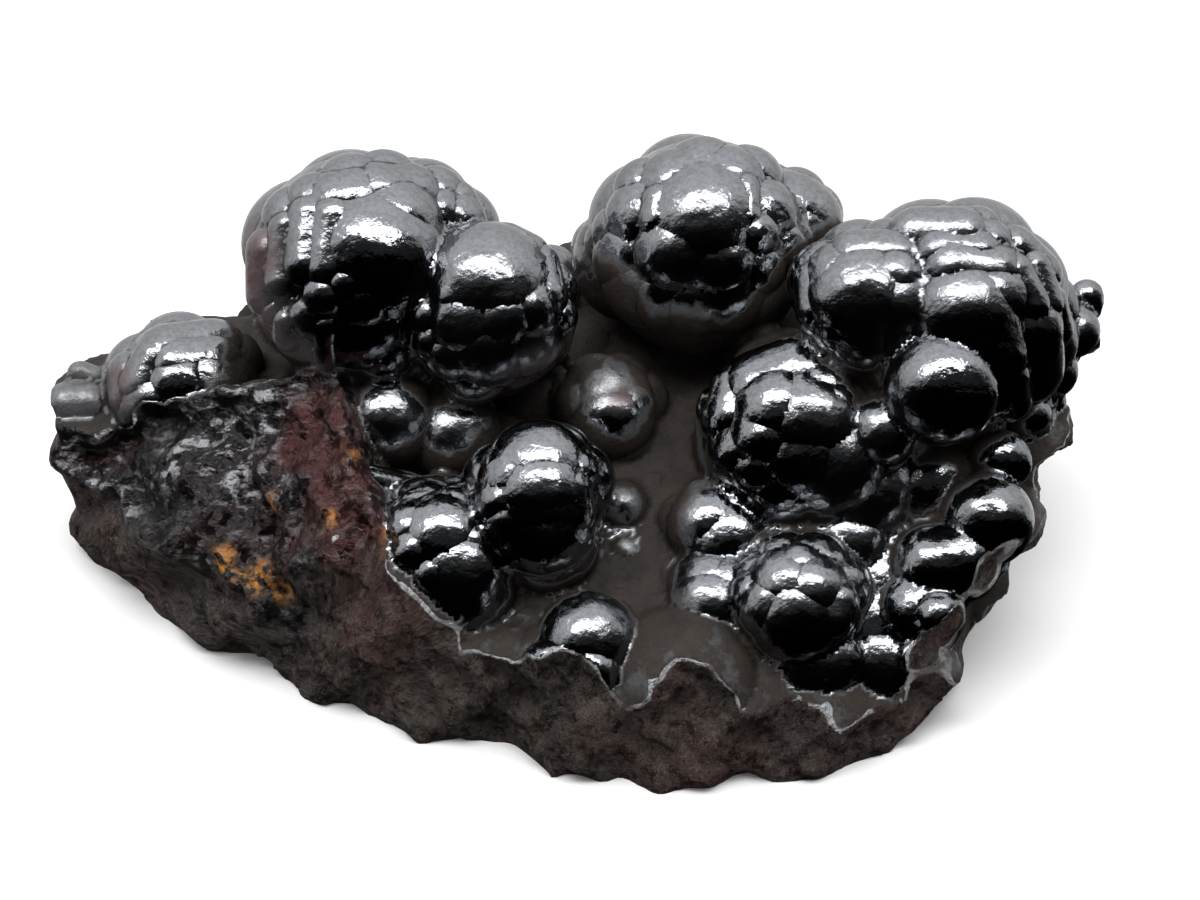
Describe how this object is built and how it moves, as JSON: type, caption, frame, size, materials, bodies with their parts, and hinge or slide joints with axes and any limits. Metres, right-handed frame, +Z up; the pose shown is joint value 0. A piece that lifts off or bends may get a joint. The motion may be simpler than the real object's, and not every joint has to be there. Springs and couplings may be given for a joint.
{
  "type": "kidney ore specimen",
  "caption": "Dark shining stone of rounded, grape-like domes on a rough broken root, with a flat underside to stand on.",
  "frame": {"origin": "middle of the stone's box, on the plane of its flat underside", "axes": "+Z up, +X along the long side towards the high right-hand dome, -Y towards the low front rim that is seen first"},
  "size_m": [0.1544, 0.0922, 0.0616],
  "materials": {
    "hematite": "natural polished black-grey skin on the domes, dull red-brown where the stone is broken"
  },
  "bodies": {
    "root": {"hematite_specimen": "hematite"}
  },
  "joints": []
}
